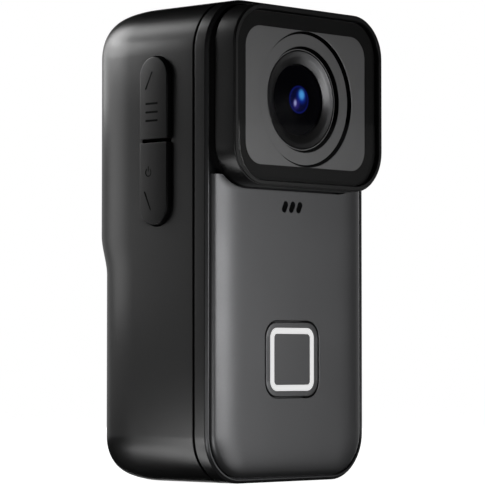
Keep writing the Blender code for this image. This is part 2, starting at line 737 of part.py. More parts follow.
def port_bay():
    """The tub behind the port door, with openings in its floor for the two ports."""
    low = (BAY_BACK, BAY_Y - DOOR_HALF_Y - 1.4, DOOR_LOW - 1.4)
    high = (INNER - GAP, BAY_Y + DOOR_HALF_Y + 1.4, DOOR_HIGH + 1.4)
    bay = rounded("port_bay", BLACK, low, high, "x", 2.4, steps=3)
    low = (BAY_FLOOR, BAY_Y - DOOR_HALF_Y - 0.2, DOOR_LOW - 0.2)
    high = (HALF, BAY_Y + DOOR_HALF_Y + 0.2, DOOR_HIGH + 0.2)
    cut(bay, rounded("bay_hollow", None, low, high, "x", DOOR_CORNER, steps=4))
    size = tuple(s / 2 + GAP for s in USB_SIZE)
    low = (BAY_BACK - 1, PORT_Y - size[0], USB_Z - size[1])
    high = (BAY_FLOOR + 1, PORT_Y + size[0], USB_Z + size[1])
    cut(bay, rounded("usb_opening", None, low, high, "x", size[0] * 0.99, steps=6))
    low = (BAY_BACK - 1, CARD_Y - 0.85, CARD_Z - 5.9)
    high = (BAY_FLOOR + 1, CARD_Y + 0.85, CARD_Z + 5.9)
    return cut(bay, rounded("card_opening", None, low, high, "x", 0.4, steps=2))


def port_door():
    """The side door: a plate whose rear edge is a round knuckle on the hinge pin."""
    low = (DOOR_IN, BAY_Y - DOOR_HALF_Y, DOOR_LOW)
    high = (DOOR_OUT, HINGE_Y + 0.1, DOOR_HIGH)
    pivot = (HINGE_X, HINGE_Y, (DOOR_LOW + DOOR_HIGH) / 2)
    form = {"corner": DOOR_CORNER, "steps": 4, "before_y": BAY_Y, "pivot": pivot}
    door = rounded("port_door", HOUSING, low, high, "x", **form)
    radius = DOOR_OUT - HINGE_X
    ends = (HINGE_X, HINGE_Y, DOOR_LOW), (HINGE_X, HINGE_Y, DOOR_HIGH)
    join(door, pegged("door_knuckle", None, radius, *ends, steps=24))
    bore_ends = (HINGE_X, HINGE_Y, DOOR_LOW - 2), (HINGE_X, HINGE_Y, DOOR_HIGH + 2)
    cut(door, pegged("door_bore", None, PIN_RADIUS + 0.1, *bore_ends))
    ends = (DOOR_OUT + 0.6, BAY_Y - DOOR_HALF_Y, 25.0), (DOOR_OUT + 0.6, BAY_Y - DOOR_HALF_Y, 29.0)
    return cut(door, pegged("nail_notch", None, 1.2, *ends, steps=16))


def door_parts():
    """The hinge pin, held in the housing, and the seal on the inside of the door."""
    ends = (HINGE_X, HINGE_Y, DOOR_LOW - 1.4), (HINGE_X, HINGE_Y, DOOR_HIGH + 1.4)
    pegged("door_pin", STEEL, PIN_RADIUS, *ends)
    low = (DOOR_IN - 0.8, BAY_Y - DOOR_HALF_Y + 0.5, DOOR_LOW + 0.6)
    high = (DOOR_IN - 0.08, HINGE_Y - 1.0, DOOR_HIGH - 0.6)
    seal = rounded("door_seal", RUBBER, low, high, "x", 1.5, steps=3)
    low = (DOOR_IN - 3, low[1] + 0.8, low[2] + 0.8)
    high = (DOOR_IN + 1, high[1] - 0.8, high[2] - 0.8)
    cut(seal, rounded("seal_hole", None, low, high, "x", 0.7, steps=3))


def usb_port():
    """A socket with an oval metal mouth and a tongue inside."""
    half_y, half_z = USB_SIZE[0] / 2, USB_SIZE[1] / 2
    low = (4.6, PORT_Y - half_y, USB_Z - half_z)
    high = (BAY_FLOOR - 0.15, PORT_Y + half_y, USB_Z + half_z)
    port = rounded("usb_port", STEEL, low, high, "x", half_y * 0.99, steps=6)
    low = (6.0, PORT_Y - half_y + 0.32, USB_Z - half_z + 0.32)
    high = (BAY_FLOOR + 1, PORT_Y + half_y - 0.32, USB_Z + half_z - 0.32)
    mouth = rounded("usb_mouth", None, low, high, "x", (half_y - 0.32) * 0.99, steps=6)
    low = (5.0, PORT_Y - 0.35, USB_Z - 3.3)
    tongue = rounded("usb_tongue", None, low, (11.4, PORT_Y + 0.35, USB_Z + 3.3))
    return cut(port, cut(mouth, tongue))


def card_parts():
    """The card socket on the board and the memory card in it."""
    low = (-2.6, CARD_Y - 0.95, CARD_Z - 6.2)
    socket = rounded("card_socket", STEEL, low, (11.3, CARD_Y + 0.95, CARD_Z + 6.2))
    low = (-2.1, CARD_Y - 0.65, CARD_Z - 5.75)
    cut(socket, rounded("socket_slot", None, low, (13.0, CARD_Y + 0.65, CARD_Z + 5.75)))
    low = (-1.6, CARD_Y - 0.4, CARD_Z - 5.5)
    high = (13.4, CARD_Y + 0.4, CARD_Z + 5.5)
    pivot = (13.4, CARD_Y, CARD_Z)
    card = rounded("memory_card", BLACK, low, high, "y", 0.7, steps=2, pivot=pivot)
    low = (-3.0, CARD_Y - 1, CARD_Z + 4.3)
    cut(card, rounded("card_step", None, low, (6.0, CARD_Y + 1, CARD_Z + 7)))


def board_parts():
    """The chassis, the battery in front of it, and the main board with its chips behind it."""
    low = (-12.6, PANEL_Y + 13.1, 9.0)
    high = (BOARD_X[1], PANEL_Y + 14.2, 71.0)
    chassis = rounded("inner_chassis", FOIL, low, high, "y", 1.5, steps=2)
    span = (PANEL_Y + 12, PANEL_Y + 16)
    cut(chassis, centred("chassis_window_1", None, (14.0, 18.0), *span, (0.5, 36.0), 2.0, steps=2))
    cut(chassis, centred("chassis_window_2", None, (14.0, 8.0), *span, (0.5, 18.5), 2.0, steps=2))
    low = (BOARD_X[0], BOARD_FRONT, 9.4)
    high = (BOARD_X[1], BOARD_FRONT + BOARD_THICK, 70.4)
    board = rounded("main_board", GREEN, low, high, "y", 1.0, steps=2)
    for i, z in enumerate((12.5, 66.5)):
        ends = (-7.0, PANEL_Y + 12.0, z), (-7.0, PANEL_Y + 17.0, z)
        cut(board, pegged(f"board_hole_{i}", None, 0.8, *ends, steps=10))
        cut(chassis, pegged(f"chassis_hole_{i}", None, 0.8, *ends, steps=10))
    top = BOARD_FRONT + BOARD_THICK + TIGHT * 2
    centred("processor", CHIP, (12.0, 12.0), top, top + 1.1, (-3.0, 57.0), 0.0)
    centred("power_chip", CHIP, (6.0, 6.0), top, top + 0.9, (5.0, 46.5), 0.0)
    low = (-13.2, PANEL_Y + 7.3, 9.0)
    rounded("battery", FOIL, low, (10.8, PANEL_Y + 12.8, 43.0), "z", 1.6, (0.3, 0.3), steps=3)


def display_parts():
    """The touch glass in the back, the display behind it and the status light above it."""
    low = (-DISPLAY_HALF, BACK_UPPER - 1.0, DISPLAY_Z[0])
    high = (DISPLAY_HALF, BACK_UPPER - 0.03, DISPLAY_Z[1])
    rounded("display_glass", GLASS, low, high, "y", 3.0, (0.0, 0.15), steps=4)
    low = (-DISPLAY_HALF + 0.8, BACK_UPPER - 2.9, DISPLAY_Z[0] + 0.8)
    high = (DISPLAY_HALF - 0.8, BACK_UPPER - 1.2, DISPLAY_Z[1] - 0.8)
    rounded("display_panel", CHIP, low, high, "y", 1.0, steps=2)
    ends = (0, BACK_UPPER - 2.2, 70.8), (0, BACK_UPPER - 0.05, 70.8)
    pegged("status_light", WHITE, 0.6, *ends, steps=12)


def small_parts():
    """Speaker, microphone, antenna and the two holding magnets."""
    low = (INNER - 4.2, BAY_Y - 4.5, 50.5)
    rounded("speaker", BLACK, low, (INNER - 0.4, BAY_Y + 4.5, 65.5), "x", 1.5, (0, 0.3), steps=3)
    span = (FLOOR_BACK + 0.2, FLOOR_BACK + 1.3)
    centred("microphone", STEEL, (4.0, 3.0), *span, (0, SLOT_Z), 0.3, steps=1)
    low = (-9.0, PANEL_Y + 15.5, HEIGHT - WALL - 1.0)
    rounded("antenna", GOLD, low, (9.0, PANEL_Y + 21.5, HEIGHT - WALL - 0.4), "z", 0.8, steps=2)
    for name, z in (("lower_magnet", 11.0), ("upper_magnet", 24.0)):
        ends = (-2.5, BACK_LOWER - WALL - 2.3, z), (-2.5, BACK_LOWER - WALL - 0.3, z)
        pegged(name, STEEL, 5.0, *ends, steps=28)


def main():
    start_scene()
    main_housing()
    front_frame()
    front_panel()
    case_seal()
    lens_bezel()
    bezel_gasket()
    cover_glass()
    mask_frame()
    lens_surround()
    lens_ring()
    front_element()
    lens_barrel()
    inner_lens("middle_element", 4.1, PANEL_Y + 2.2, 1.6)
    inner_lens("rear_element", 3.1, PANEL_Y + 6.2, 1.2)
    lens_holder()
    sensor_parts()
    screws()
    record_button()
    button_ring()
    button_parts()
    side_key("upper_key", True)
    side_key("lower_key", False)
    key_parts()
    port_bay()
    port_door()
    door_parts()
    usb_port()
    card_parts()
    board_parts()
    display_parts()
    small_parts()


main()
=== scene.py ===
"""Finished looks for the pocket action camera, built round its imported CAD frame."""

import json
import math

import bmesh
import bpy
from mathutils import Matrix, Vector


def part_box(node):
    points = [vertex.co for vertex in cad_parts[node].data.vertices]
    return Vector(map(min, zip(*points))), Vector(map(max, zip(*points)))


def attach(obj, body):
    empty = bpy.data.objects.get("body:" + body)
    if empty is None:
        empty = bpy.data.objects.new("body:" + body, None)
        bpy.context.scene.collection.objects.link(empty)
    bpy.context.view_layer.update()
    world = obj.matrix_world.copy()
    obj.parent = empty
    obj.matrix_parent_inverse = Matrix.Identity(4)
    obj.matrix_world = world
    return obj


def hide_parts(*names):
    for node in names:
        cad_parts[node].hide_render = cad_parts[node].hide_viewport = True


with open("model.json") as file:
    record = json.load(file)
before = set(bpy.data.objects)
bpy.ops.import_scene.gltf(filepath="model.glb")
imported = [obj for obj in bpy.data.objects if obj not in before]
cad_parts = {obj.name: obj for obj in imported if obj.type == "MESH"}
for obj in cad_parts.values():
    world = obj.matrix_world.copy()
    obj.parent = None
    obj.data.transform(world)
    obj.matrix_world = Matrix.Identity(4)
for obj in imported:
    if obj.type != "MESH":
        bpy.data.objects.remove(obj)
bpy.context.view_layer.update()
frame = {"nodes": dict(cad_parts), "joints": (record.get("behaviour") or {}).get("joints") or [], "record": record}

MM = 0.001

# The back of the housing steps in between these two heights
STEP_LOW_Z = 33.0 * MM
STEP_HIGH_Z = 39.4 * MM
STEP_IN = 1.3 * MM

# The case's corners, seen from the front. The lower two are a little tighter
BODY_CORNER = 8.5 * MM
FOOT_TIGHTER = 1.0 * MM

# The housing rolls over to its back: how deep, how far in, by what power of curve, and what
# share of that the top and bottom draw in
CROWN_DEEP = 9.0 * MM
CROWN_IN = 3.0 * MM
CROWN_POWER = 2.2
CROWN_UPRIGHT = 0.7

# The shell's wall, the rounding inside it, and the gap round the port door
WALL = 1.8 * MM
HOLLOW_ROUND = 2.6 * MM
GAP = 0.3 * MM

# Fine rounding of moulded and machined edges
EDGE = 0.12 * MM

# The leaning slots over the microphone and the speaker come in threes
SLOT_COUNT = 3
SLOT_WIDTH = 1.1 * MM
SLOT_LENGTH = 1.95 * MM
SLOT_PITCH = 1.68 * MM
SLOT_LEAN = math.radians(25)

# The grey plate round the lens, and the corners of the window over it
PLATE_SIZE = (28.07 * MM, 21.73 * MM)
WINDOW_CORNER = 5.75 * MM

# Flanges that hold the record button and the side keys behind the panel and the wall
BUTTON_FLANGE = 0.9 * MM
KEY_FLANGE = 0.7 * MM

# Points along a rounded corner, and the angles, in degrees, above which an edge is drawn sharp
CORNER_STEPS = 14
SHARP_ANGLE = 32
TURNED_SHARP_ANGLE = 25

case_low, case_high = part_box("main_housing")
frame_low, frame_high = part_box("front_frame")
panel_low, panel_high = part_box("front_panel")
bezel_low, bezel_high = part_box("lens_bezel")
PANEL_Y = panel_low.y
LENS_Z = (bezel_low.z + bezel_high.z) / 2
HEIGHT = case_high.z
CASE_MIDDLE = (0.0, HEIGHT / 2)


def middle_of(name, across=0):
    """The middle of a node's box, as (x, z), or as (y, z) with 1."""
    low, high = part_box(name)
    return ((low[across] + high[across]) / 2, (low.z + high.z) / 2)


# ---------------------------------------------------------------- meshes


def outline(width, height, corner, splits=(), tighter=0.0):
    """A rounded rectangle round (0, 0): up its right side from the bottom, then down its left.

    Its sides get extra points at the heights in splits. Its two lower corners are tighter than the
    upper ones by the last number.
    """
    w, h = width / 2, height / 2
    r = max(0.02 * MM, min(corner, 0.999 * w, 0.999 * h))
    low = max(0.02 * MM, r - tighter)
    right = [(0.0, -h)]
    for i in range(CORNER_STEPS + 1):
        t = math.pi / 2 * i / CORNER_STEPS - math.pi / 2
        right.append((w - low + low * math.cos(t), low - h + low * math.sin(t)))
    right += [(w, z) for z in splits]
    for i in range(CORNER_STEPS + 1):
        t = math.pi / 2 * i / CORNER_STEPS
        right.append((w - r + r * math.cos(t), h - r + r * math.sin(t)))
    right.append((0.0, h))
    return right + [(-x, z) for x, z in reversed(right[1:-1])]


def finish_mesh(bm, name, angle=SHARP_ANGLE):
    """An object from a mesh in the making, smooth but for its sharp edges."""
    bmesh.ops.remove_doubles(bm, verts=bm.verts, dist=1e-8)
    bmesh.ops.recalc_face_normals(bm, faces=bm.faces)
    mesh = bpy.data.meshes.new(name)
    bm.to_mesh(mesh)
    bm.free()
    mesh.shade_smooth()
    mesh.set_sharp_from_angle(angle=math.radians(angle))
    obj = bpy.data.objects.new(name, mesh)
    bpy.context.scene.collection.objects.link(obj)
    return obj


def loft(name, rings, closed=False, strips=False, **more):
    """Join rings of equal length. Ends are capped, or with closed the last ring meets the first.

    With strips, each cap is a ladder of narrow faces from one side of the ring to the other.
    """
    bm = bmesh.new()
    rows = [[bm.verts.new(p) for p in ring] for ring in rings]
    pairs = list(zip(rows, rows[1:]))
    if closed:
        pairs.append((rows[-1], rows[0]))
    count = len(rows[0])
    for a, b in pairs:
        for i in range(count):
            j = (i + 1) % count
            bm.faces.new((a[i], a[j], b[j], b[i]))
    for row in () if closed else (rows[0], rows[-1]):
        if not strips:
            bm.faces.new(row)
            continue
        for i in range(count // 2):
            corners = (row[i], row[i + 1], row[-i - 1], row[-i]) if i else (row[0], row[1], row[-1])
            if i == count // 2 - 1:
                corners = (row[i], row[i + 1], row[-i])
            bm.faces.new(corners)
    return finish_mesh(bm, name, **more)


def slab(
    name, size, middle, corner, profile, axis="y", closed=False, splits=(), bend=None, tighter=0.0, **more
):
    """A rounded plate. Each point of its profile is (how far in from the outline, depth)."""
    rings = []
    for inset, depth in profile:
        ring = []
        points = outline(
            size[0] - 2 * inset, size[1] - 2 * inset, corner - inset, splits=splits, tighter=tighter
        )
        for a, b in points:
            a, b = a + middle[0], b + middle[1]
            point = (a, depth, b) if axis == "y" else (depth, a, b)
            ring.append(bend(point) if bend else point)
        rings.append(ring)
    return loft(name, rings, closed, **more)


def revolve(name, profile, middle, closed=False, steps=128):
    """A profile of (radius, y) points turned round the Y axis, with the origin on that axis."""
    bm = bmesh.new()
    rows = []
    for i in range(steps):
        t = 2 * math.pi * i / steps
        rows.append([bm.verts.new((r * math.cos(t), y, r * math.sin(t))) for r, y in profile])
    count = len(profile)
    for i in range(steps):
        a, b = rows[i], rows[(i + 1) % steps]
        for j in range(count if closed else count - 1):
            k = (j + 1) % count
            bm.faces.new((a[j], a[k], b[k], b[j]))
    bmesh.ops.remove_doubles(bm, verts=bm.verts, dist=1e-8)
    bmesh.ops.dissolve_degenerate(bm, edges=bm.edges, dist=1e-8)
    obj = finish_mesh(bm, name, TURNED_SHARP_ANGLE)
    obj.location = (middle[0], 0.0, middle[1])
    return obj


def over_front(width, drop, front, steps):
    """Profile points that roll from a flat front face over to the side."""
    points = []
    for i in range(steps + 1):
        t = math.pi / 2 * i / steps
        points.append((width * (1 - math.sin(t)), front + drop * (1 - math.cos(t))))
    return points


def over_back(width, drop, back, steps, start=0.0, power=2.0):
    """Profile points that roll from the side over to a flat back face."""
    points = []
    for i in range(steps + 1):
        t = math.pi / 2 * i / steps
        inset = width * (1 - max(0.0, math.cos(t)) ** (2 / power))
        points.append((start + inset, back - drop + drop * math.sin(t) ** (2 / power)))
    return points


def block(name, low, high):
    """A plain box, used only as a cutter."""
    bm = bmesh.new()
    bmesh.ops.create_cube(bm, size=1.0)
    low, high = Vector(low), Vector(high)
    size = Matrix.Diagonal((*(high - low), 1.0))
    bmesh.ops.transform(bm, matrix=Matrix.Translation((low + high) / 2) @ size, verts=bm.verts)
    return finish_mesh(bm, name)


def apply_modifiers(obj):
    """Turn an object's modifiers into its mesh."""
    bpy.context.view_layer.update()
    shown = obj.evaluated_get(bpy.context.evaluated_depsgraph_get())
    mesh = bpy.data.meshes.new_from_object(shown)
    obj.modifiers.clear()
    obj.data = mesh


def carve(obj, *tools, operation="DIFFERENCE", angle=SHARP_ANGLE):
    """Cut the tools out of an object, or keep what it shares with them, and remove the tools."""
    for tool in tools:
        modifier = obj.modifiers.new(tool.name, "BOOLEAN")
        modifier.operation = operation
        modifier.object = tool
    apply_modifiers(obj)
    for tool in tools:
        bpy.data.objects.remove(tool)
    obj.data.shade_smooth()
    obj.data.set_sharp_from_angle(angle=math.radians(angle))
    return obj


def hole(name, size, middle, corner, face, deep, axis="y", soften=EDGE, outward=-1):
    """A cutter for a hole whose mouth, in the plane at face, is softly rounded."""
    way = -outward
    profile = [(-soften, face + outward * MM)]
    steps = 4
    for i in range(steps + 1):
        t = math.pi / 2 * i / steps
        profile.append((-soften * (1 - math.sin(t)), face + way * soften * (1 - math.cos(t))))
    profile.append((0.0, face + way * deep))
    return slab(name, size, middle, corner, profile, axis)


def keep_flat(obj):
    """Keep large flat faces evenly shaded where they meet small rounded edges."""
    modifier = obj.modifiers.new("weighted", "WEIGHTED_NORMAL")
    modifier.keep_sharp = True
    modifier.weight = 80
    return obj


def back_at(z):
    """How far the back is stepped in at this height: none above the step, all of it below."""
    t = min(1.0, max(0.0, (z - STEP_LOW_Z) / (STEP_HIGH_Z - STEP_LOW_Z)))
    return STEP_IN * (1 - t * t * (3 - 2 * t))


def stepped(point):
    """Move a point of the housing forward with the step in its back.

    The top and bottom are crowned less than the sides, so they are eased out again a little.
    """
    x, y, z = point
    along = min(1.0, max(0.0, 1 - (case_high.y - y) / CROWN_DEEP))
    drawn_in = CROWN_IN * (1 - (1 - along**CROWN_POWER) ** (1 / CROWN_POWER))
    ease = 1 + (1 - CROWN_UPRIGHT) * drawn_in / (HEIGHT / 2 - drawn_in)
    share = max(0.0, (y - case_low.y) / (case_high.y - case_low.y))
    return (x, y - share * back_at(z), HEIGHT / 2 + (z - HEIGHT / 2) * ease)


def slanted(name, middle, low, high, axis="y"):
    """A cutter for one leaning slot with round ends."""
    profile = [(0.0, low), (0.0, high)]
    tool = slab(name, (SLOT_WIDTH, SLOT_LENGTH), (0.0, 0.0), SLOT_WIDTH / 2, profile, axis)
    turn = Matrix.Rotation(SLOT_LEAN, 4, "Y" if axis == "y" else "X")
    place = (middle[0], 0.0, middle[1]) if axis == "y" else (0.0, middle[0], middle[1])
    tool.data.transform(Matrix.Translation(place) @ turn)
    return tool


def slots(name, middle, low, high, axis="y"):
    """Cutters for a row of leaning slots."""
    tools = []
    for i in range(SLOT_COUNT):
        along = middle[0] + (i - (SLOT_COUNT - 1) / 2) * SLOT_PITCH
        tools.append(slanted(f"{name}_{i}", (along, middle[1]), low, high, axis))
    return tools


# ---------------------------------------------------------------- materials


def new_material(name):
    """A new material, its node tree and its main shader."""
    material = bpy.data.materials.new(name)
    material.use_nodes = True
    return material, material.node_tree, material.node_tree.nodes["Principled BSDF"]


def add_node(tree, kind, **inputs):
    """A node with some of its inputs set."""
    node = tree.nodes.new(kind)
    for key, value in inputs.items():
        node.inputs[key.replace("_", " ")].default_value = value
    return node


def noise(tree, coords, scale, detail=3.0):
    """Cloudy noise over the object."""
    node = add_node(tree, "ShaderNodeTexNoise", Scale=scale, Detail=detail)
    tree.links.new(coords, node.inputs["Vector"])
    return node.outputs["Fac"]


def spread(tree, value, low, high):
    """Map a 0.3..0.7 noise to a range."""
    node = add_node(tree, "ShaderNodeMapRange", From_Min=0.3, From_Max=0.7, To_Min=low, To_Max=high)
    tree.links.new(value, node.inputs["Value"])
    return node.outputs["Result"]


def mixed(tree, factor, first, second):
    """Blend two colours, each a plain colour or another node's output."""
    node = tree.nodes.new("ShaderNodeMix")
    node.data_type = "RGBA"
    for index, value in ((6, first), (7, second)):
        if isinstance(value, tuple):
            node.inputs[index].default_value = (*value, 1.0)
        else:
            tree.links.new(value, node.inputs[index])
    tree.links.new(factor, node.inputs[0])
    return node.outputs[2]


def bumped(tree, shader, height, strength, distance):
    """Let a height show as relief in a shader."""
    node = add_node(tree, "ShaderNodeBump", Strength=strength, Distance=distance)
    tree.links.new(height, node.inputs["Height"])
    tree.links.new(node.outputs["Normal"], shader.inputs["Normal"])


def moulded(name, colour, roughness, metallic=0.0, grain=0.12, bump=0.25, change=0.12, specular=0.5):
    """Moulded or coated surface: a fine even grain, with slight changes of tone and of gloss."""
    material, tree, shader = new_material(name)
    coords = tree.nodes.new("ShaderNodeTexCoord").outputs["Object"]
    broad = noise(tree, coords, 90.0, 4.0)
    fine = noise(tree, coords, 1.0 / (grain * MM), 2.0)
    dark = tuple(c * (1 - change) for c in colour)
    light = tuple(c * (1 + change) for c in colour)
    tree.links.new(mixed(tree, spread(tree, fine, 0.0, 1.0), dark, light), shader.inputs["Base Color"])
    rough = spread(tree, broad, roughness * 0.94, roughness * 1.06)
    tree.links.new(rough, shader.inputs["Roughness"])
    bumped(tree, shader, fine, bump, grain * MM * 0.25)
    shader.inputs["Metallic"].default_value = metallic
    shader.inputs["Specular IOR Level"].default_value = specular
    return material


def brushed(name, colour, roughness, stretch=(1.0, 30.0, 1.0), metallic=1.0):
    """Drawn or turned metal with fine lines along one direction."""
    material, tree, shader = new_material(name)
    coords = tree.nodes.new("ShaderNodeTexCoord").outputs["Object"]
    scaled = tree.nodes.new("ShaderNodeMapping")
    scaled.inputs["Scale"].default_value = stretch
    tree.links.new(coords, scaled.inputs["Vector"])
    lines = noise(tree, scaled.outputs["Vector"], 900.0, 4.0)
    dark = tuple(c * 0.8 for c in colour)
    tree.links.new(mixed(tree, spread(tree, lines, 0.0, 1.0), dark, colour), shader.inputs["Base Color"])
    rough = spread(tree, lines, roughness * 0.8, roughness * 1.25)
    tree.links.new(rough, shader.inputs["Roughness"])
    bumped(tree, shader, lines, 0.15, 0.02 * MM)
    shader.inputs["Metallic"].default_value = metallic
    return material


def lit(name, colour, strength):
    """A milky light guide that glows a little by itself."""
    material = moulded(name, colour, 0.45, grain=0.1, bump=0.1, change=0.02)
    shader = material.node_tree.nodes["Principled BSDF"]
    shader.inputs["Emission Color"].default_value = (1.0, 1.0, 1.0, 1.0)
    shader.inputs["Emission Strength"].default_value = strength
    return material


def circuit(name, colour):
    """Solder mask over copper tracks: a fine grid of lighter lines and small pads."""
    material, tree, shader = new_material(name)
    coords = tree.nodes.new("ShaderNodeTexCoord").outputs["Object"]
    cells = add_node(tree, "ShaderNodeTexVoronoi", Scale=700.0)
    cells.distance = "MANHATTAN"
    cells.feature = "F2"
    tree.links.new(coords, cells.inputs["Vector"])
    tracks = add_node(tree, "ShaderNodeMapRange", From_Min=0.45, From_Max=0.6)
    tree.links.new(cells.outputs["Distance"], tracks.inputs["Value"])
    light = tuple(min(1.0, c * 2.2 + 0.01) for c in colour)
    shade = mixed(tree, tracks.outputs["Result"], colour, light)
    tree.links.new(shade, shader.inputs["Base Color"])
    rough = spread(tree, noise(tree, coords, 400.0), 0.3, 0.42)
    tree.links.new(rough, shader.inputs["Roughness"])
    bumped(tree, shader, tracks.outputs["Result"], 0.4, 0.03 * MM)
    return material


def clear_glass(name, tint):
    """Cover glass: mostly clear, with a soft gloss and a faint smear over it."""
    material, tree, shader = new_material(name)
    coords = tree.nodes.new("ShaderNodeTexCoord").outputs["Object"]
    smear = noise(tree, coords, 160.0, 4.0)
    tree.links.new(spread(tree, smear, 0.02, 0.06), shader.inputs["Roughness"])
    dark = tuple(c * 0.7 for c in tint)
    tree.links.new(mixed(tree, spread(tree, smear, 0.0, 1.0), dark, tint), shader.inputs["Base Color"])
    shader.inputs["Alpha"].default_value = 0.2
    shader.inputs["IOR"].default_value = 1.5
    return material


def radial(tree, coords, centre, reach, low, high):
    """1 at a centre and 0 at a distance, between the radii low and high of a stretched ball."""
    mapping = tree.nodes.new("ShaderNodeMapping")
    mapping.inputs["Location"].default_value = tuple(-c / r for c, r in zip(centre, reach))
    mapping.inputs["Scale"].default_value = tuple(1.0 / r for r in reach)
    tree.links.new(coords, mapping.inputs["Vector"])
    length = tree.nodes.new("ShaderNodeVectorMath")
    length.operation = "LENGTH"
    tree.links.new(mapping.outputs["Vector"], length.inputs[0])
    ramp = add_node(tree, "ShaderNodeMapRange", From_Min=low, From_Max=high, To_Min=1.0, To_Max=0.0)
    ramp.interpolation_type = "SMOOTHERSTEP"
    tree.links.new(length.outputs["Value"], ramp.inputs["Value"])
    return ramp.outputs["Result"]


def painted_lens_glow(name):
    """Near-black domed glass with painted light round the pupil: its emission paints the blue sheen of the
    coatings and a cyan and a violet highlight.
    """
    material, tree, shader = new_material(name)
    coords = tree.nodes.new("ShaderNodeTexCoord").outputs["Object"]
    flat = 50 * MM
    black = (0.0012, 0.0012, 0.0018)
    place, reach = (-0.5 * MM, 0, 0), (2.3 * MM, flat, 2.35 * MM)
    rim = radial(tree, coords, place, reach, 0.92, 1.03)
    pupil = radial(tree, coords, place, reach, 0.8, 0.96)
    # Masks for the painted light: a blue glow in the middle of the pupil, a cyan highlight, a blue-violet patch
    # and a violet highlight.
    heart = radial(tree, coords, (-0.05 * MM, 0, 0.5 * MM), (1.65 * MM, flat, 1.75 * MM), 0.25, 1.0)
    cyan = radial(tree, coords, (0.0, 0, 0.8 * MM), (1.1 * MM, flat, 1.35 * MM), 0.2, 0.95)
    deep = radial(tree, coords, (-1.25 * MM, 0, -0.75 * MM), (1.2 * MM, flat, 1.35 * MM), 0.2, 1.0)
    violet = radial(tree, coords, (-1.45 * MM, 0, -0.6 * MM), (0.5 * MM, flat, 0.85 * MM), 0.1, 1.0)
    # Emission paints this light: the blue rings and middle are a painted sheen, the cyan and violet spots are
    # painted highlights.
    glow = mixed(tree, rim, black, (0.006, 0.01, 0.13))
    glow = mixed(tree, pupil, glow, (0.003, 0.004, 0.035))
    glow = mixed(tree, deep, glow, (0.03, 0.02, 0.2))
    glow = mixed(tree, heart, glow, (0.008, 0.03, 0.34))
    glow = mixed(tree, violet, glow, (0.42, 0.42, 0.8))
    glow = mixed(tree, cyan, glow, (0.09, 0.42, 0.95))
    tree.links.new(glow, shader.inputs["Emission Color"])
    shader.inputs["Emission Strength"].default_value = 1.0
    shade = mixed(tree, pupil, black, (0.002, 0.002, 0.012))
    tree.links.new(shade, shader.inputs["Base Color"])
    rough = spread(tree, noise(tree, coords, 250.0), 0.28, 0.34)
    tree.links.new(rough, shader.inputs["Roughness"])
    shader.inputs["Specular IOR Level"].default_value = 0.04
    return material


def facing_painted_tone(name, front, side, roughness, gloss, split):
    """Metallic paint on the faces that look along -Y, and another colour and gloss on the rest: this split by
    facing paints light and shade, a painted shade on the plate's step walls and a painted highlight on the rim's
    front.
    """
    material, tree, shader = new_material(name)
    coords = tree.nodes.new("ShaderNodeTexCoord")
    fine = noise(tree, coords.outputs["Object"], 10000.0, 2.0)
    dark = tuple(c * 0.94 for c in front)
    face = mixed(tree, spread(tree, fine, 0.0, 1.0), dark, front)
    parts = tree.nodes.new("ShaderNodeSeparateXYZ")
    tree.links.new(coords.outputs["Normal"], parts.inputs["Vector"])
    ramp = add_node(tree, "ShaderNodeMapRange", From_Min=split[0], From_Max=split[1])
    tree.links.new(parts.outputs["Y"], ramp.inputs["Value"])
    # Faces turned from -Y take the second colour: on the plate a painted shade on the step walls, on the rim its
    # own black beside the painted highlight of its front.
    turned = ramp.outputs["Result"]
    tree.links.new(mixed(tree, turned, face, side), shader.inputs["Base Color"])
    for socket, low, high in (
        ("Roughness", roughness[0], roughness[1]),
        ("Metallic", 0.8, 0.0),
        ("Specular IOR Level", 0.2, gloss),
    ):
        level = add_node(tree, "ShaderNodeMapRange", To_Min=low, To_Max=high)
        tree.links.new(turned, level.inputs["Value"])
        tree.links.new(level.outputs["Result"], shader.inputs[socket])
    bumped(tree, shader, fine, 0.15, 0.02 * MM)
    return material


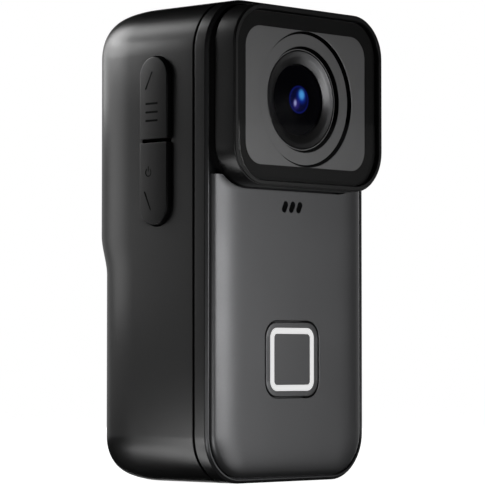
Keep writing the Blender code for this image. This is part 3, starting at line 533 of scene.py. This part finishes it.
def make_materials():
    """The materials, by the record's slot names, and four more for finer detail."""
    coal = (0.007, 0.007, 0.0072)
    # Painted shade for the walls of the plate's round steps.
    painted_wall_shade = (0.001, 0.001, 0.001)
    return {
        "housing": moulded("housing", coal, 0.3),
        "panel": moulded("panel", (0.16, 0.161, 0.165), 0.36, 0.8, grain=0.1, bump=0.15, change=0.08),
        "bezel": moulded("bezel", (0.006, 0.006, 0.0062), 0.34),
        "key": moulded("key", (0.004, 0.004, 0.0042), 0.4, grain=0.15, specular=0.28),
        "glass": clear_glass("glass", (0.0, 0.0, 0.0)),
        "black_glass": moulded("black_glass", (0.006, 0.006, 0.007), 0.08, grain=0.5, bump=0.02, change=0.3),
        # Painted light on the lens plate: its front grey is lighter than the panel's paint, standing in for light
        # under the cover glass, and its step walls are painted near black as shade.
        "plate": facing_painted_tone("plate", (0.52, 0.52, 0.525), painted_wall_shade, (0.42, 0.5), 0.05, (-0.95, -0.8)),
        # The rim's front and chamfer take a lighter metallic grey than its sides: partly real gloss, partly a
        # painted highlight along the chamfer.
        "rim": facing_painted_tone("rim", (0.1, 0.101, 0.104), coal, (0.34, 0.3), 0.5, (-0.66, -0.5)),
        "cone": moulded("cone", (0.25, 0.25, 0.255), 0.33, 1.0, grain=0.08, bump=0.0, change=0.05),
        "lens": painted_lens_glow("lens"),
        "black": moulded("black", (0.006, 0.006, 0.006), 0.5),
        "print": moulded("print", (0.0015, 0.0015, 0.0015), 0.7, specular=0.05),
        "rubber": moulded("rubber", (0.008, 0.008, 0.008), 0.8, grain=0.08, bump=0.5),
        "white": moulded("white", (0.82, 0.82, 0.82), 0.4, grain=0.1, bump=0.1, change=0.02),
        "ring": lit("ring", (0.85, 0.85, 0.85), 0.42),
        "steel": brushed("steel", (0.55, 0.55, 0.57), 0.3),
        "gold": brushed("gold", (0.8, 0.58, 0.25), 0.3),
        "board": circuit("board", (0.006, 0.06, 0.03)),
        "chip": moulded("chip", (0.012, 0.012, 0.013), 0.55, grain=0.06, bump=0.5),
        "foil": brushed("foil", (0.5, 0.51, 0.53), 0.4, (1.0, 1.0, 12.0), 0.9),
    }


materials = make_materials()


def settle(obj, body, slot, *nodes, material=None):
    """Put a finished piece on its body, give it its slot's material, and hide what it replaces."""
    obj.data.materials.clear()
    obj.data.materials.append(material or materials[slot])
    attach(obj, body)
    if nodes:
        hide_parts(*nodes)
    return obj


# ---------------------------------------------------------------- housing, frame and panel


def housing():
    """The rear shell, hollow and open to the front, with its step and its holes."""
    front, back = case_low.y, case_high.y
    profile = [(WALL + HOLLOW_ROUND + MM, back - WALL)]
    profile += list(reversed(over_back(HOLLOW_ROUND, HOLLOW_ROUND, back - WALL, 8, WALL)))
    profile += [(WALL, front)]
    profile += over_front(EDGE, EDGE, front, 3)
    profile += [(0.0, front + 2 * MM), (0.0, back - CROWN_DEEP - 2 * MM)]
    profile += over_back(CROWN_IN, CROWN_DEEP, back, 40, power=CROWN_POWER)
    profile += [(CROWN_IN + 0.5 * MM, back)]
    size = (case_high.x - case_low.x, HEIGHT)
    low, high = STEP_LOW_Z - 2 * MM - HEIGHT / 2, STEP_HIGH_Z + 2 * MM - HEIGHT / 2
    steps = 30
    splits = [low + (high - low) * i / steps for i in range(steps + 1)]
    shell = slab(
        "rear_housing",
        size,
        CASE_MIDDLE,
        BODY_CORNER,
        profile,
        splits=splits,
        bend=stepped,
        tighter=FOOT_TIGHTER,
        strips=True,
    )
    return carve(shell, *side_holes(), *back_holes(), *speaker_slots())


def side_holes():
    """Cutters for the keys on the left and the port door on the right."""
    deep = 3 * MM
    upper_low, upper_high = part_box("upper_key")
    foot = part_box("lower_key")[0].z
    spare = 0.3 * MM - 2 * KEY_FLANGE
    size = (upper_high.y - upper_low.y + spare, upper_high.z - foot + spare)
    middle = (middle_of("upper_key", 1)[0], (upper_high.z + foot) / 2)
    keys = hole("key_hole", size, middle, size[0] / 2, case_low.x, deep, "x")
    low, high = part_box("port_door")
    size = (high.y - low.y + 2 * GAP, high.z - low.z + 2 * GAP)
    middle = middle_of("port_door", 1)
    door = hole("door_hole", size, middle, 0.7 * MM, case_high.x, deep, "x", outward=1)
    return [keys, door]


def back_holes():
    """Cutters for the display, the status light and the shallow clip seat."""
    back, deep = case_high.y, 3 * MM
    low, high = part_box("display_glass")
    size = (high.x - low.x + 0.24 * MM, high.z - low.z + 0.24 * MM)
    middle = (0.0, middle_of("display_glass")[1])
    display = hole("display_hole", size, middle, 3.12 * MM, back, deep, outward=1)
    size = (1.5 * MM, 1.5 * MM)
    middle = (0.0, middle_of("status_light")[1])
    light = hole("light_hole", size, middle, size[0] / 2, back, deep, outward=1)
    size = (24 * MM, 21 * MM)
    clip = hole("clip_seat", size, (0.0, 17.5 * MM), 3 * MM, back - STEP_IN, 0.25 * MM, outward=1)
    return [display, light, clip]


def speaker_slots():
    """Cutters for the slots over the speaker."""
    right = case_high.x
    return slots("speaker_slot", middle_of("speaker", 1), right - 3 * MM, right + MM, "x")


def front_rim():
    """The front frame: a bevelled rim round a pocket, and the floor behind the panel."""
    rim, back = frame_low.y, frame_high.y
    floor = PANEL_Y + 2.1 * MM
    pocket = 0.72 * MM
    profile = [(pocket + MM, floor), (pocket, floor)]
    profile += [(pocket, rim + 0.1 * MM), (pocket - 0.08 * MM, rim)]
    profile += [(0.46 * MM, rim), (0.4 * MM, rim + 0.02 * MM), (0.06 * MM, rim + 0.36 * MM)]
    profile += [(0.0, rim + 0.46 * MM), (0.0, back - EDGE)]
    profile += over_back(EDGE, EDGE, back, 3) + [(MM, back)]
    size = (frame_high.x - frame_low.x, HEIGHT)
    shell = slab("front_shell", size, CASE_MIDDLE, BODY_CORNER, profile, tighter=FOOT_TIGHTER)
    low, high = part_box("record_button")
    size = (high.x - low.x + 0.8 * MM, high.z - low.z + 0.8 * MM)
    middle = (0.0, middle_of("record_button")[1])
    through = [(0.0, floor - MM), (0.0, back + MM)]
    button_way = slab("button_way", size, middle, 3.2 * MM, through)
    lens_way = slab("lens_way", (22 * MM, 20 * MM), (0.0, LENS_Z), 5 * MM, through)
    middle = (0.0, middle_of("microphone")[1])
    sound_way = slab("sound_way", (4.8 * MM, 1.6 * MM), middle, 0.7 * MM, through)
    return carve(shell, button_way, lens_way, sound_way)


def face_panel():
    """The panel, rolled over at its edge, cut round the bezel, the button and the sound slots."""
    low, high = panel_low, panel_high
    tall = 20 * MM
    crown, edge, drop = 7.5 * MM, 0.42 * MM, 1.3 * MM
    size = (high.x - low.x, high.z - low.z + tall)
    middle = (0.0, low.z + size[1] / 2)
    profile = [(crown + MM, low.y)]
    steps, last = 24, 0.25
    for i in range(steps + 1):
        share = i / steps
        inset = crown * (1 - share) ** 1.6
        lean = (drop - edge) * (1 - inset / crown) ** 4
        roll = edge * (max(0.0, share - 1 + last) / last) ** 2
        profile.append((inset, low.y + lean + roll))
    profile += [(0.0, high.y), (MM, high.y)]
    panel = slab("face_panel", size, middle, 7.7 * MM, profile, tighter=FOOT_TIGHTER)
    front, back = PANEL_Y - 3 * MM, PANEL_Y + 4 * MM
    tools = [block("trim", (-30 * MM, front, high.z), (30 * MM, back, high.z + 2 * tall))]
    size = (bezel_high.x - bezel_low.x + 0.5 * MM, bezel_high.z - bezel_low.z + 0.5 * MM)
    tools.append(slab("bezel_notch", size, (0.0, LENS_Z), 7.0 * MM, [(0.0, front), (0.0, back)]))
    button_low, button_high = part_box("record_button")
    spare = 0.5 * MM - 2 * BUTTON_FLANGE
    size = (button_high.x - button_low.x + spare, button_high.z - button_low.z + spare)
    middle = (0.0, middle_of("record_button")[1])
    tools.append(hole("button_hole", size, middle, 2.75 * MM, low.y, 3 * MM, soften=0.08 * MM))
    tools += slots("sound_slot", (0.0, middle_of("microphone")[1]), front, back)
    return carve(panel, *tools)


# ---------------------------------------------------------------- lens module


def bezel():
    """The proud surround: a flat rim with a fine step round it, and a ledge for the glass."""
    front, back = bezel_low.y, bezel_high.y
    rim, step = 0.87 * MM, 0.2 * MM
    ledge, inner = PANEL_Y - 2.1 * MM, 3.17 * MM
    profile = [(rim, front + 0.06 * MM), (rim - 0.06 * MM, front), (step + 0.06 * MM, front)]
    profile += [(step, front + 0.05 * MM), (step, front + 0.2 * MM), (step - 0.06 * MM, front + 0.2 * MM)]
    profile += over_front(0.12 * MM, 0.16 * MM, front + 0.2 * MM, 4)
    profile += [(0.0, back - 0.3 * MM)] + over_back(0.25 * MM, 0.25 * MM, back, 5)
    profile += [(inner, back), (inner, ledge), (rim, ledge)]
    size = ((bezel_high - bezel_low).x, (bezel_high - bezel_low).z)
    return slab("bezel", size, (0.0, LENS_Z), 6.75 * MM, profile, closed=True)


def window_pieces():
    """The cover glass and the black border behind it."""
    low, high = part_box("cover_glass")
    size = (high.x - low.x, high.z - low.z)
    middle = (0.0, LENS_Z)
    soft = 0.03 * MM
    profile = [(MM, low.y)] + over_front(soft, soft, low.y, 3)
    profile += over_back(soft, soft, high.y, 3) + [(MM, high.y)]
    glass = slab("window_glass", size, middle, WINDOW_CORNER, profile)
    low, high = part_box("mask_frame")
    inner = (size[0] - PLATE_SIZE[0]) / 2 - 0.02 * MM
    profile = [(0.0, low.y), (inner, low.y), (inner, high.y), (0.0, high.y)]
    border = slab("window_border", size, middle, WINDOW_CORNER, profile, closed=True)
    return glass, border


def grey_surround():
    """The plate round the lens: two round steps go down to the lens ring."""
    low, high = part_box("lens_surround")
    front, back = low.y, high.y
    middle = (0.0, LENS_Z)
    profile = [(MM, front), (0.0, front), (0.0, back), (MM, back)]
    plate = slab("grey_surround", PLATE_SIZE, middle, 3.4 * MM, profile)
    second, third = PANEL_Y - 2.5 * MM, PANEL_Y - 1.86 * MM
    steps = [
        (0.0, front - MM),
        (10.95 * MM, front - MM),
        (10.90 * MM, front),
        (10.83 * MM, front + 0.03 * MM),
        (10.78 * MM, front + 0.1 * MM),
        (10.50 * MM, second - 0.05 * MM),
        (10.44 * MM, second),
        (8.52 * MM, second),
        (8.45 * MM, second + 0.04 * MM),
        (8.14 * MM, third - 0.05 * MM),
        (8.08 * MM, third),
        (7.93 * MM, third),
        (7.91 * MM, third + 0.05 * MM),
        (7.91 * MM, back + MM),
        (0.0, back + MM),
    ]
    cutter = revolve("steps", steps, middle)
    return carve(plate, cutter, angle=20)


def lens_lip():
    """The ring round the glass: a flat lip, and a shallow cone down to the lens."""
    lip = PANEL_Y - 1.86 * MM
    profile = [
        (7.78 * MM, PANEL_Y + 0.4 * MM),
        (7.78 * MM, lip + 0.06 * MM),
        (7.72 * MM, lip),
        (7.20 * MM, lip + 0.10 * MM),
        (6.92 * MM, lip + 0.13 * MM),
        (6.82 * MM, lip + 0.18 * MM),
        (5.84 * MM, PANEL_Y - 1.40 * MM),
        (5.76 * MM, PANEL_Y - 1.34 * MM),
        (5.74 * MM, PANEL_Y - 1.2 * MM),
        (5.74 * MM, PANEL_Y - 0.1 * MM),
        (5.0 * MM, PANEL_Y - 0.1 * MM),
        (5.0 * MM, PANEL_Y + 0.4 * MM),
    ]
    return revolve("lens_lip", profile, (0.0, LENS_Z), closed=True)


def lens_dome():
    """The outer lens, from its apex over the dome to its edge and round its back."""
    low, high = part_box("front_element")
    radius = (high.x - low.x) / 2
    edge = PANEL_Y - 0.95 * MM
    profile = []
    steps = 24
    for i in range(steps + 1):
        share = i / steps
        profile.append((radius * share, low.y + (edge - low.y) * share * share))
    profile += [(radius, high.y - 0.5 * MM), (radius * 0.6, high.y - 0.45 * MM), (0.0, high.y)]
    return revolve("lens_dome", profile, (0.0, LENS_Z), steps=96)


# ---------------------------------------------------------------- buttons and keys


def button_cap():
    """The square cap with its flange, and the groove that holds the white ring."""
    low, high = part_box("record_button")
    middle = (0.0, (low.z + high.z) / 2)
    flange = BUTTON_FLANGE
    size = (high.x - low.x - 2 * flange, high.z - low.z - 2 * flange)
    shoulder = PANEL_Y + 1.75 * MM
    back = PANEL_Y + 2.45 * MM
    profile = [(MM, low.y)] + over_front(0.14 * MM, 0.14 * MM, low.y, 4)
    profile += [(0.0, shoulder), (-flange, shoulder), (-flange, back), (MM, back)]
    cap = slab("button_cap", size, middle, 2.5 * MM, profile)
    ring_low, ring_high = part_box("button_ring")
    outer = (ring_high.x - ring_low.x, ring_high.z - ring_low.z)
    band, spare = 0.95 * MM, 0.03 * MM
    profile = [(-spare, low.y - MM), (band + spare, low.y - MM)]
    profile += [(band + spare, ring_high.y + 0.05 * MM), (-spare, ring_high.y + 0.05 * MM)]
    groove = slab("groove", outer, middle, 1.6 * MM, profile, closed=True)
    carve(cap, groove)
    proud = 0.02 * MM
    front = ring_low.y - proud
    profile = [(0.05 * MM, front), (band - 0.05 * MM, front), (band, front + 0.05 * MM)]
    profile += [(band, ring_high.y), (0.0, ring_high.y), (0.0, front + 0.05 * MM)]
    ring = slab("light_ring", outer, middle, 1.6 * MM, profile, closed=True)
    return cap, ring


def key_pieces():
    """The two side keys: one crowned capsule, parted in the middle."""
    upper_low, upper_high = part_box("upper_key")
    lower_low, lower_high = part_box("lower_key")
    flange = KEY_FLANGE
    width = upper_high.y - upper_low.y - 2 * flange
    height = upper_high.z - lower_low.z - 2 * flange
    middle = ((upper_low.y + upper_high.y) / 2, (upper_high.z + lower_low.z) / 2)
    top, foot = upper_low.x, upper_high.x
    crown, roll = 0.12 * MM, 0.2 * MM
    reach = width / 2 - 0.1 * MM
    profile = []
    steps = 8
    for i in range(steps + 1):
        inset = reach + (roll - reach) * i / steps
        share = 1 - (inset - roll) / (reach - roll)
        profile.append((inset, top + crown * share * share))
    for inset, depth in over_front(roll, roll, top + crown, 7)[1:]:
        profile.append((inset, depth))
    wall = case_low.x + WALL
    profile += [(0.0, wall + 0.2 * MM), (-flange, wall + 0.3 * MM), (-flange, foot), (MM, foot)]
    keys = []
    split, gap = (upper_low.z + lower_high.z) / 2, 0.3 * MM
    for name, low, high in (
        ("upper_key_cap", -10 * MM, split + gap),
        ("lower_key_cap", split - gap, 90 * MM),
    ):
        key = slab(name, (width, height), middle, width / 2, profile, "x")
        near, far = (-30 * MM, middle[0] - 10 * MM, low), (0.0, middle[0] + 10 * MM, high)
        carve(key, block("part", near, far))
        soften = key.modifiers.new("soften", "BEVEL")
        soften.width = 0.1 * MM
        soften.segments = 2
        soften.limit_method = "ANGLE"
        soften.angle_limit = math.radians(60)
        soften.harden_normals = False
        apply_modifiers(key)
        key.data.shade_smooth()
        key.data.set_sharp_from_angle(angle=math.radians(35))
        keys.append(key)
    return keys


def stroke(name, start, end, x, width):
    """A printed stroke, sunk into the keys' face, between two (y, z) points."""
    start, end = Vector((0, *start)), Vector((0, *end))
    run = end - start
    profile = [(width / 2, x), (0.02 * MM, x), (0.0, x + 0.02 * MM), (0.0, x + 0.2 * MM)]
    mark = slab(name, (width, run.length + width), (0.0, 0.0), width / 2, profile, "x")
    turn = Matrix.Rotation(math.atan2(-run.y, run.z), 4, "X")
    mark.data.transform(Matrix.Translation((start + end) / 2) @ turn)
    return mark


def together(name, pieces):
    """Several separate pieces made into one object."""
    bm = bmesh.new()
    for piece in pieces:
        bm.from_mesh(piece.data)
        bpy.data.objects.remove(piece)
    return finish_mesh(bm, name)


def key_marks():
    """Slanted strokes at the keys' ends, a three-bar menu sign and a small power sign."""
    upper_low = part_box("upper_key")[0]
    y, x = middle_of("upper_key", 1)[0], upper_low.x - 0.01 * MM
    split = (upper_low.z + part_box("lower_key")[1].z) / 2

    def mark(name, start, end, width=0.26):
        """A stroke placed in millimetres from the middle of the gap between the keys."""
        first, last = ((y + a * MM, split + b * MM) for a, b in (start, end))
        return stroke(name, first, last, x, width * MM)

    upper = [mark("rise", (1.58, 8.3), (0.15, 10.85))]
    for i in range(3):
        z = 3.2 + 1.35 * i
        upper.append(mark(f"bar_{i}", (1.45, z), (-0.95, z), 0.34))
    lower = [mark("fall", (1.8, -8.05), (0.48, -10.8))]
    ring = []
    steps, radius = 8, 0.62
    for i in range(steps + 1):
        t = math.radians(40 + 280 * i / steps)
        ring.append((0.95 + radius * math.sin(t), -4.95 + radius * math.cos(t)))
    for i, (first, last) in enumerate(zip(ring, ring[1:])):
        lower.append(mark(f"arc_{i}", first, last, 0.16))
    lower.append(mark("on", (0.95, -4.75), (0.95, -4.05), 0.16))
    return together("upper_key_marks", upper), together("lower_key_marks", lower)


# ---------------------------------------------------------------- ports, display and light


def door_plate(low, high, pivot):
    """The door's plate: a round knuckle at its hinge, a rolled edge opposite, and soft ends."""
    radius = high.x - pivot.x
    inside = case_high.x - 1.7 * MM
    soft = 0.35 * MM
    section = []
    steps = 16
    for i in range(steps + 1):
        t = math.pi / 2 - math.pi * i / steps
        section.append((pivot.x + radius * math.sin(t), pivot.y + radius * math.cos(t)))
    section += [(inside, pivot.y - radius * 0.4), (inside, low.y + 0.1 * MM), (inside + 0.1 * MM, low.y)]
    steps = 6
    for i in range(steps + 1):
        t = math.pi / 2 * i / steps
        section.append((high.x - soft + soft * math.sin(t), low.y + soft - soft * math.cos(t)))
    rings = []
    for z, inset in ((low.z, EDGE), (low.z + EDGE, 0.0), (high.z - EDGE, 0.0), (high.z, EDGE)):
        rings.append([(x - inset * (x > pivot.x), y, z) for x, y in section])
    return loft("side_door", rings)


def door_cutters(low, high, pivot):
    """Cutters for the door's grip lines, the bore of its pin and its finger notch."""
    middle_z = (low.z + high.z) / 2
    tools = []
    size, profile = (2.6 * MM, 0.4 * MM), [(0.0, high.x - 0.15 * MM), (0.0, high.x + MM)]
    for i in range(5):
        place = (low.y + 2.2 * MM, middle_z + (i - 2) * 1.1 * MM)
        tools.append(slab(f"grip_{i}", size, place, size[1] / 2, profile, "x"))
    bm = bmesh.new()
    bmesh.ops.create_cone(
        bm,
        cap_ends=True,
        segments=32,
        radius1=0.5 * MM,
        radius2=0.5 * MM,
        depth=40 * MM,
        matrix=Matrix.Translation((pivot.x, pivot.y, middle_z)),
    )
    tools.append(finish_mesh(bm, "bore"))
    profile = [(0.0, high.x - 0.6 * MM), (-0.5 * MM, high.x + 0.3 * MM)]
    tools.append(slab("notch", (2.4 * MM, 4.4 * MM), (low.y, middle_z), 1.1 * MM, profile, "x"))
    return tools


def side_door():
    """The port door, with its two far corners rounded, its grip lines and its notch."""
    low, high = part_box("port_door")
    joint = next(j for j in frame["joints"] if j["name"] == "port_door_hinge")
    pivot = Vector(joint["pos_m"])
    door = door_plate(low, high, pivot)
    corner = 2.0 * MM
    size = (high.y - low.y + 2 * corner, high.z - low.z)
    middle = (low.y + size[0] / 2, (low.z + high.z) / 2)
    through = [(0.0, low.x - MM), (0.0, high.x + MM)]
    keep = slab("keep", size, middle, corner, through, "x")
    carve(door, keep, operation="INTERSECT")
    return carve(door, *door_cutters(low, high, pivot))


def back_pieces():
    """The display's touch glass and the status light."""
    low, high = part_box("display_glass")
    size = (high.x - low.x, high.z - low.z)
    middle = (0.0, (low.z + high.z) / 2)
    profile = [(MM, low.y), (0.0, low.y), (0.0, high.y - 0.35 * MM)]
    profile += over_back(0.6 * MM, 0.3 * MM, high.y, 8) + [(MM, high.y), (2 * MM, high.y)]
    glass = slab("touch_glass", size, middle, 3.0 * MM, profile)
    low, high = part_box("status_light")
    radius = (high.x - low.x) / 2
    middle = (0.0, (low.z + high.z) / 2)
    steps, dome = 6, 0.1 * MM
    profile = [(0.0, low.y), (radius, low.y), (radius, high.y - dome)]
    for i in range(1, steps + 1):
        t = math.pi / 2 * i / steps
        profile.append((radius * math.cos(t), high.y - dome + dome * math.sin(t)))
    light = revolve("light_lens", profile, middle, steps=48)
    return glass, light


def build():
    """Make each piece and put it in the place of its CAD node."""
    settle(keep_flat(housing()), "case", "housing", "main_housing")
    settle(keep_flat(front_rim()), "case", "housing", "front_frame", material=materials["rim"])
    settle(keep_flat(face_panel()), "case", "panel", "front_panel")
    settle(bezel(), "case", "bezel", "lens_bezel")
    glass, border = window_pieces()
    settle(glass, "case", "glass", "cover_glass")
    settle(border, "case", "black", "mask_frame")
    settle(grey_surround(), "case", "plate", "lens_surround")
    settle(lens_lip(), "case", "bezel", "lens_ring", material=materials["cone"])
    settle(lens_dome(), "case", "lens", "front_element")
    cap, ring = button_cap()
    settle(keep_flat(cap), "record_button", "panel", "record_button")
    settle(ring, "record_button", "white", "button_ring", material=materials["ring"])
    upper, lower = key_pieces()
    settle(keep_flat(upper), "upper_key", "key", "upper_key")
    settle(keep_flat(lower), "lower_key", "key", "lower_key")
    upper, lower = key_marks()
    settle(upper, "upper_key", "black", material=materials["print"])
    settle(lower, "lower_key", "black", material=materials["print"])
    settle(keep_flat(side_door()), "port_door", "housing", "port_door")
    screen, light = back_pieces()
    settle(keep_flat(screen), "case", "black_glass", "display_glass")
    settle(light, "case", "white", "status_light")


def dress_frame():
    """Give every CAD node the material of its slot, but the microphone the darkest one."""
    slot_of = {s["node"]: s["material_slot"] for s in frame["record"]["subparts"]}
    for name, node in frame["nodes"].items():
        node.data.materials.clear()
        slot = "print" if name == "microphone" else slot_of[name]
        node.data.materials.append(materials[slot])


# ---------------------------------------------------------------- stage


def soft_light(name, target, turn, lift, away, size, power):
    """An area light aimed at a target, with its distance and size in millimetres and its watts.

    It stands turned from the front towards +X, and lifted, by these degrees.
    """
    turn, lift = math.radians(turn), math.radians(lift)
    way = Vector((math.sin(turn) * math.cos(lift), -math.cos(turn) * math.cos(lift), math.sin(lift)))
    data = bpy.data.lights.new(name, "AREA")
    data.shape = "RECTANGLE"
    data.size, data.size_y = size[0] * MM, size[1] * MM
    data.energy = power
    obj = bpy.data.objects.new(name, data)
    obj.location = target + way * away * MM
    obj.rotation_euler = (-way).to_track_quat("-Z", "Y").to_euler()
    obj.visible_camera = False
    bpy.context.scene.collection.objects.link(obj)


def set_lights():
    """Broad lights in front and behind, small ones that shade the left side, and weak fills."""
    middle = Vector((0.0, 0.0, HEIGHT / 2))
    soft_light("front", middle, 12, 0, 200, (150, 70), 0.115)
    soft_light("front_low", middle, 30, -20, 200, (70, 70), 0.019)
    soft_light("panel_gloss", middle, 45, 0, 200, (70, 70), 0.003)
    soft_light("left_low", middle, -42, -20, 200, (70, 70), 0.048)
    soft_light("rear_high", middle, -160, 40, 200, (70, 70), 0.063)
    soft_light("rear_left", middle, -143, 0, 200, (150, 70), 0.018)
    soft_light("right_fill", middle, 93, 5, 330, (200, 200), 0.05)
    soft_light("rear_fill", middle, 175, 9, 330, (200, 200), 0.07)
    soft_light("corner_fill", middle, 125, -1, 350, (300, 300), 0.3)
    side = Vector((-18 * MM, 4 * MM, 45 * MM))
    soft_light("side_top", side, -152, 40, 55, (20, 20), 0.007)
    soft_light("side_strip", side, -152, 7, 55, (20, 50), 0.0044)
    edge = Vector((-18 * MM, 0.0, 50 * MM))
    soft_light("back_edge", edge, -175, 28, 90, (30, 60), 0.016)
    foot = Vector((-18 * MM, -4 * MM, 6 * MM))
    soft_light("foot_side", foot, -125, -10, 60, (25, 20), 0.007)
    soft_light("foot_under", foot, -140, -38, 60, (20, 42), 0.0098)


def set_floor():
    """A pale floor with a glow of its own, which neither lights nor shades the object."""
    bm = bmesh.new()
    bmesh.ops.create_grid(bm, x_segments=1, y_segments=1, size=4.0)
    floor = finish_mesh(bm, "floor")
    material, _, shader = new_material("floor")
    shader.inputs["Base Color"].default_value = (0.9, 0.9, 0.9, 1.0)
    shader.inputs["Roughness"].default_value = 0.9
    shader.inputs["Specular IOR Level"].default_value = 0.0
    shader.inputs["Emission Color"].default_value = (1.0, 1.0, 1.0, 1.0)
    shader.inputs["Emission Strength"].default_value = 1.0
    floor.data.materials.append(material)
    floor.visible_glossy = False
    floor.visible_diffuse = False
    floor.visible_shadow = False


def set_surround(scene):
    """A white surround that neither lights the object nor shows in its gloss."""
    world = bpy.data.worlds.new("surround")
    world.use_nodes = True
    world.node_tree.nodes["Background"].inputs["Color"].default_value = (1.0, 1.0, 1.0, 1.0)
    world.cycles_visibility.glossy = False
    world.cycles_visibility.diffuse = False
    scene.world = world


def set_camera(scene):
    """A long lens to the left of the front, a little below the middle of the case."""
    tilt, turn = math.radians(92.502), math.radians(-46.493)
    data = bpy.data.cameras.new("camera")
    data.lens = 204.2
    data.sensor_width = 36.0
    data.clip_start = 10 * MM
    camera = bpy.data.objects.new("camera", data)
    camera.location = (-323.06 * MM, PANEL_Y - 295.73 * MM, 18.89 * MM)
    camera.rotation_euler = (tilt, 0.0, turn)
    scene.collection.objects.link(camera)
    scene.camera = camera


def set_stage():
    """The floor, the surround, the lights and the camera."""
    scene = bpy.context.scene
    scene.view_settings.view_transform = "Standard"
    set_floor()
    set_surround(scene)
    set_lights()
    set_camera(scene)


build()
dress_frame()
set_stage()
